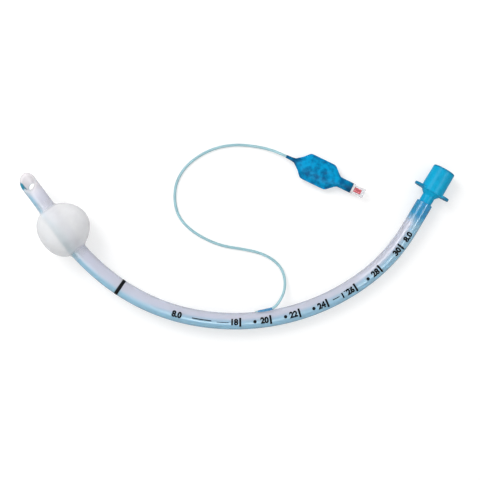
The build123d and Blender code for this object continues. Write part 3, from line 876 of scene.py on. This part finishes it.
tree.links.new(crease.outputs["Normal"], shader.inputs["Normal"])
balloon.data.materials.append(blue_vinyl)

# Inflation valve: a clear moulded housing with a luer socket, and inside it a red plunger with a black
# rubber seal and a white retainer ring. Their shapes are the modelled ones, and the coil comes next.

# Clear styrene, moulded: what is in the balloon's sleeve looks cloudy, and the rest is nearly clear.
HOUSING_FLOW = 3 * MM
SLEEVE_BAND = 43.6 * MM
BAND_BLUR = 0.2 * MM
clear_plastic, tree, shader = material("clear_housing", Roughness=0.20, IOR=1.30)
place = add(tree, "ShaderNodeTexCoord")
flow = add(tree, "ShaderNodeTexNoise", values={"Scale": 1 / HOUSING_FLOW, "Detail": 2.0},
           links={"Vector": place.outputs["Object"]})
cloud = add(tree, "ShaderNodeValToRGB", links={"Fac": flow.outputs["Fac"]}, stops=(
    (0.0, "#EEF1F5"), (1.0, "#FAFBFC")))
tree.links.new(cloud.outputs["Color"], shader.inputs["Base Color"])
along = add(tree, "ShaderNodeVectorMath", {"operation": "DOT_PRODUCT"}, {1: BALLOON_DIR}, {
    0: place.outputs["Object"]})
band_ends = BALLOON_AT.dot(BALLOON_DIR) + SLEEVE_BAND
band = add(tree, "ShaderNodeMapRange", values={
    "From Min": band_ends - BAND_BLUR, "From Max": band_ends + BAND_BLUR, "To Min": 0.35, "To Max": 0.96},
    links={"Value": along.outputs["Value"]})
tree.links.new(band.outputs["Result"], shader.inputs["Transmission Weight"])

# Red polypropylene, moulded: satin, with faint flow marks.
PLUNGER_FLOW = 2 * MM
red_plastic, tree, shader = material("red_plunger", Roughness=0.35, IOR=1.5)
place = add(tree, "ShaderNodeTexCoord")
flow = add(tree, "ShaderNodeTexNoise", values={"Scale": 1 / PLUNGER_FLOW, "Detail": 2.0},
           links={"Vector": place.outputs["Object"]})
dye_and_painted_relief = add(tree, "ShaderNodeValToRGB", links={"Fac": flow.outputs["Fac"]}, stops=(
    (0.0, "#E02840"), (1.0, "#F04454")))
tree.links.new(dye_and_painted_relief.outputs["Color"], shader.inputs["Base Color"])

# Nitrile rubber, moulded: near black and dull, with a faint grey bloom, drawn coarser than it is.
BLOOM_PITCH = 0.8 * MM
rubber, tree, shader = material("seal_rubber", Roughness=0.7, Specular_IOR_Level=0.3)
place = add(tree, "ShaderNodeTexCoord")
bloom = add(tree, "ShaderNodeTexNoise", values={"Scale": 1 / BLOOM_PITCH, "Detail": 3.0},
            links={"Vector": place.outputs["Object"]})
grey = add(tree, "ShaderNodeValToRGB", links={"Fac": bloom.outputs["Fac"]}, stops=(
    (0.0, "#1C1D1F"), (1.0, "#303236")))
tree.links.new(grey.outputs["Color"], shader.inputs["Base Color"])

# White acetal, moulded: smooth and a little waxy.
RETAINER_FLOW = 2 * MM
white_plastic, tree, shader = material("white_acetal", Roughness=0.42, IOR=1.48)
place = add(tree, "ShaderNodeTexCoord")
flow = add(tree, "ShaderNodeTexNoise", values={"Scale": 1 / RETAINER_FLOW, "Detail": 2.0},
           links={"Vector": place.outputs["Object"]})
white = add(tree, "ShaderNodeValToRGB", links={"Fac": flow.outputs["Fac"]}, stops=(
    (0.0, "#E2E2DE"), (1.0, "#F1F1EE")))
tree.links.new(white.outputs["Color"], shader.inputs["Base Color"])

for node, finish, slot in (("valve_housing", clear_plastic, "clear_housing"),
                           ("valve_plunger", red_plastic, "red_plunger"),
                           ("valve_seal", rubber, "seal_rubber"),
                           ("valve_retainer", white_plastic, "white_retainer")):
    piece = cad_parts[node]
    piece.data.materials.clear()
    piece.data.materials.append(finish)

# Valve spring: a coil of drawn stainless wire between the retainer and the plunger's flange. It is
# only held between them, and it shortens when a syringe pushes the plunger in.
WIRE_R = 0.175 * MM
WIRE_STEPS = 10
COIL_R = 1.625 * MM
COIL_LOW = 27.285 * MM
COIL_HIGH = 35.355 * MM
COIL_TURNS = 6
COIL_STEPS = 28

coil_rows = []
for i in range(COIL_TURNS * COIL_STEPS + 1):
    turn = TAU * i / COIL_STEPS
    along = COIL_LOW + (COIL_HIGH - COIL_LOW) * i / (COIL_TURNS * COIL_STEPS)
    outward = BALLOON_SIDE * math.cos(turn) + BALLOON_UP * math.sin(turn)
    middle = BALLOON_AT + BALLOON_DIR * along + outward * COIL_R
    coil_rows.append(round_ring(middle, outward, BALLOON_DIR, WIRE_R, WIRE_STEPS, along))
spring = skin("valve_coil", coil_rows, ends=True)

# Stainless wire, drawn: bright, with a fine unevenness from the die, drawn coarser than it is.
DIE_PITCH = 0.4 * MM
steel, tree, shader = material("spring_steel", Metallic=1.0, Roughness=0.32)
place = add(tree, "ShaderNodeTexCoord")
drawn = add(tree, "ShaderNodeTexNoise", values={"Scale": 1 / DIE_PITCH, "Detail": 3.0},
            links={"Vector": place.outputs["Object"]})
sheen = add(tree, "ShaderNodeValToRGB", links={"Fac": drawn.outputs["Fac"]}, stops=(
    (0.0, "#A9AAAC"), (1.0, "#C4C5C8")))
tree.links.new(sheen.outputs["Color"], shader.inputs["Base Color"])
spring.data.materials.append(steel)
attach(spring, "tube_set")
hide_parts("valve_spring")
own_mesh(spring)
